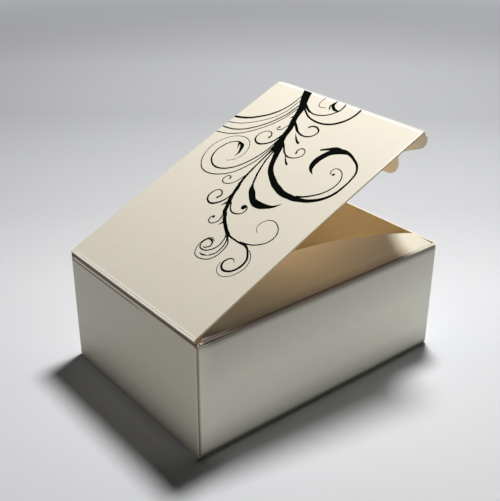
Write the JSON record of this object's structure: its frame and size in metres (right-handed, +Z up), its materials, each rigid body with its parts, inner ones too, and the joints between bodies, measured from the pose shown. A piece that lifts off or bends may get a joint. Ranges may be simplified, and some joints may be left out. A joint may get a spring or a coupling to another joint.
{
  "type": "tuck-end gift carton",
  "caption": "Small rectangular gift carton folded from ivory board, its hinged lid standing part open, with a tuck flap under the lid's edge and curved dust flaps on the side walls.",
  "frame": {"origin": "centre of the underside of the shut bottom", "axes": "+Z up, +X from the hinge wall to the front wall, -Y towards the side wall that laps the glued seam"},
  "size_m": [0.09, 0.064, 0.0736],
  "materials": {
    "board": "matte",
    "glue": "matte",
    "ink": "matte"
  },
  "bodies": {
    "tube": {"near_side_wall": "board", "far_side_wall": "board", "front_wall": "board", "hinge_wall": "board", "near_front_corner_fold": "board", "far_front_corner_fold": "board", "far_hinge_corner_fold": "board", "glue_flap_fold": "board", "glue_flap": "board", "seam_adhesive": "glue"},
    "lid": {"lid_panel": "board", "lid_hinge_fold": "board"},
    "lid_tuck": {"lid_tuck_flap": "board", "lid_tuck_fold": "board"},
    "near_dust": {"near_dust_flap": "board", "near_dust_fold": "board"},
    "far_dust": {"far_dust_flap": "board", "far_dust_fold": "board"},
    "bottom": {"bottom_panel": "board", "bottom_hinge_fold": "board"},
    "bottom_tuck": {"bottom_tuck_flap": "board", "bottom_tuck_fold": "board"},
    "bottom_near_dust": {"bottom_near_dust_flap": "board", "bottom_near_dust_fold": "board"},
    "bottom_far_dust": {"bottom_far_dust_flap": "board", "bottom_far_dust_fold": "board"}
  },
  "joints": [
    {"name": "lid_hinge", "type": "hinge", "parent": "tube", "child": "lid", "pos_m": [-0.04475, 0, 0.03655], "axis": [0, -1, 0], "range_deg": [-24.5, 155.5]},
    {"name": "near_dust_hinge", "type": "hinge", "parent": "tube", "child": "near_dust", "pos_m": [0, -0.03175, 0.03595], "axis": [1, 0, 0], "range_deg": [-24.5, 155.5]},
    {"name": "far_dust_hinge", "type": "hinge", "parent": "tube", "child": "far_dust", "pos_m": [0, 0.03175, 0.03595], "axis": [-1, 0, 0], "range_deg": [-24.5, 155.5]},
    {"name": "lid_tuck_hinge", "type": "hinge", "parent": "lid", "child": "lid_tuck", "pos_m": [0.03596, 0, 0.07333], "axis": [0, 1, 0], "range_deg": [-105, 15]},
    {"name": "bottom_hinge", "type": "hinge", "parent": "tube", "child": "bottom", "pos_m": [0.04475, 0, 0.00025], "axis": [0, -1, 0], "range_deg": [0, 180]},
    {"name": "bottom_near_dust_hinge", "type": "hinge", "parent": "tube", "child": "bottom_near_dust", "pos_m": [0, -0.03175, 0.00085], "axis": [-1, 0, 0], "range_deg": [0, 180]},
    {"name": "bottom_far_dust_hinge", "type": "hinge", "parent": "tube", "child": "bottom_far_dust", "pos_m": [0, 0.03175, 0.00085], "axis": [1, 0, 0], "range_deg": [0, 180]},
    {"name": "bottom_tuck_hinge", "type": "hinge", "parent": "bottom", "child": "bottom_tuck", "pos_m": [-0.04395, 0, 0.00025], "axis": [0, 1, 0], "range_deg": [-6, 14]}
  ],
  "couplings": [
    {"joint": "near_dust_hinge", "follows": "lid_hinge", "ratio": 1},
    {"joint": "far_dust_hinge", "follows": "lid_hinge", "ratio": 1},
    {"joint": "bottom_near_dust_hinge", "follows": "bottom_hinge", "ratio": 1},
    {"joint": "bottom_far_dust_hinge", "follows": "bottom_hinge", "ratio": 1}
  ]
}
